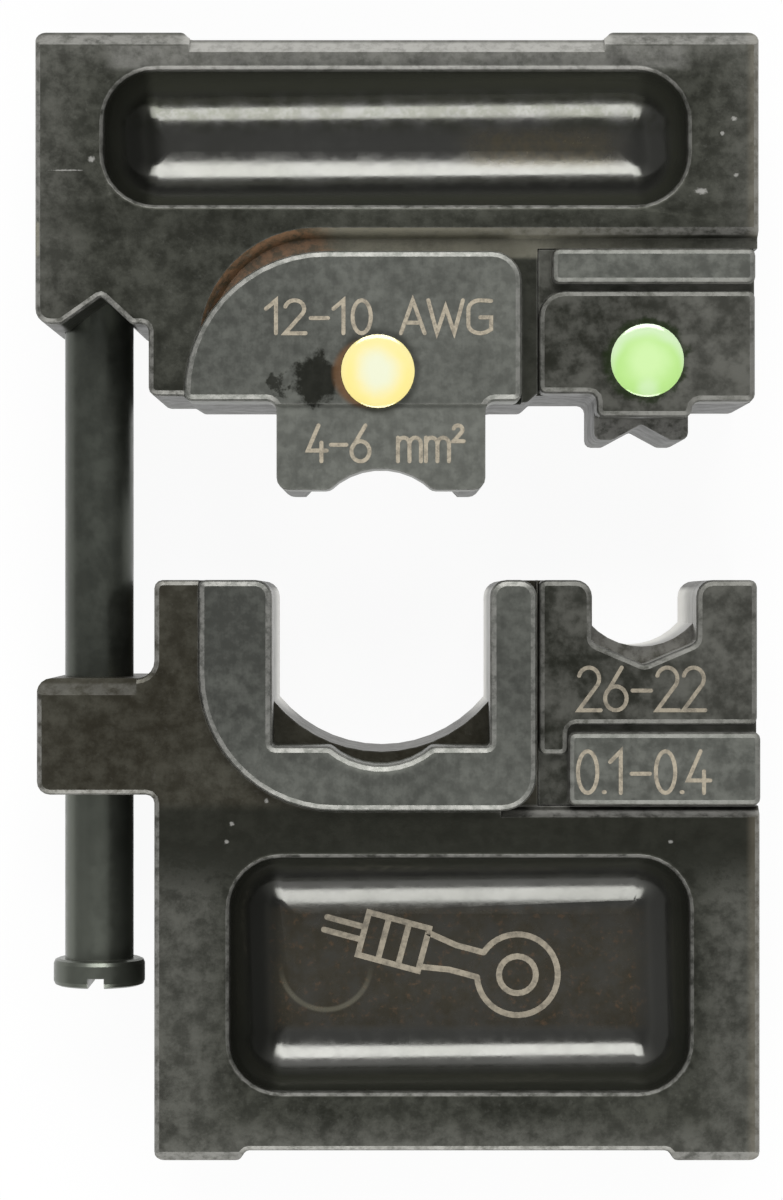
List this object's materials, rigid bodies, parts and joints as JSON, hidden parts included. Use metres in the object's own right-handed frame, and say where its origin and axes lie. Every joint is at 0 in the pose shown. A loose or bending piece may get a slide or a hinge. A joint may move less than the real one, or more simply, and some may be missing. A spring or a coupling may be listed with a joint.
{
  "type": "crimping die set",
  "caption": "Interchangeable die set for hand crimping pliers: an upper punch die and a lower nest die in blackened steel, sliding together on a flanged guide pin at one side.",
  "frame": {"origin": "centre of the set's footprint, on the plane of the back faces it lies on", "axes": "+Y is the way the upper die slides off the lower die, +X runs from the guide pin's side to the small nest's side, +Z points out of the front faces"},
  "size_m": [0.0308, 0.048, 0.0107],
  "materials": {
    "blackened_steel": "mottled black oxide",
    "ground_steel": "ground and blackened",
    "pin_steel": "smooth black oxide",
    "yellow_enamel": "gloss enamel",
    "green_enamel": "gloss enamel"
  },
  "bodies": {
    "lower_die": {"lower_block": "blackened_steel", "large_nest_plate": "ground_steel", "small_nest_plate": "blackened_steel", "large_nest_dowel_1": "pin_steel", "large_nest_dowel_2": "pin_steel", "small_nest_dowel_1": "pin_steel", "small_nest_dowel_2": "pin_steel"},
    "upper_die": {"upper_block": "blackened_steel", "large_punch_plate": "ground_steel", "small_punch_plate": "blackened_steel", "large_punch_dowel_1": "pin_steel", "large_punch_dowel_2": "pin_steel", "small_punch_dowel_1": "pin_steel", "small_punch_dowel_2": "pin_steel", "guide_pin": "pin_steel", "yellow_size_dot": "yellow_enamel", "green_size_dot": "green_enamel"}
  },
  "joints": [
    {"name": "die_slide", "type": "slide", "parent": "lower_die", "child": "upper_die", "axis": [0, 1, 0], "range_m": [-0.0075, 0.0073]}
  ]
}
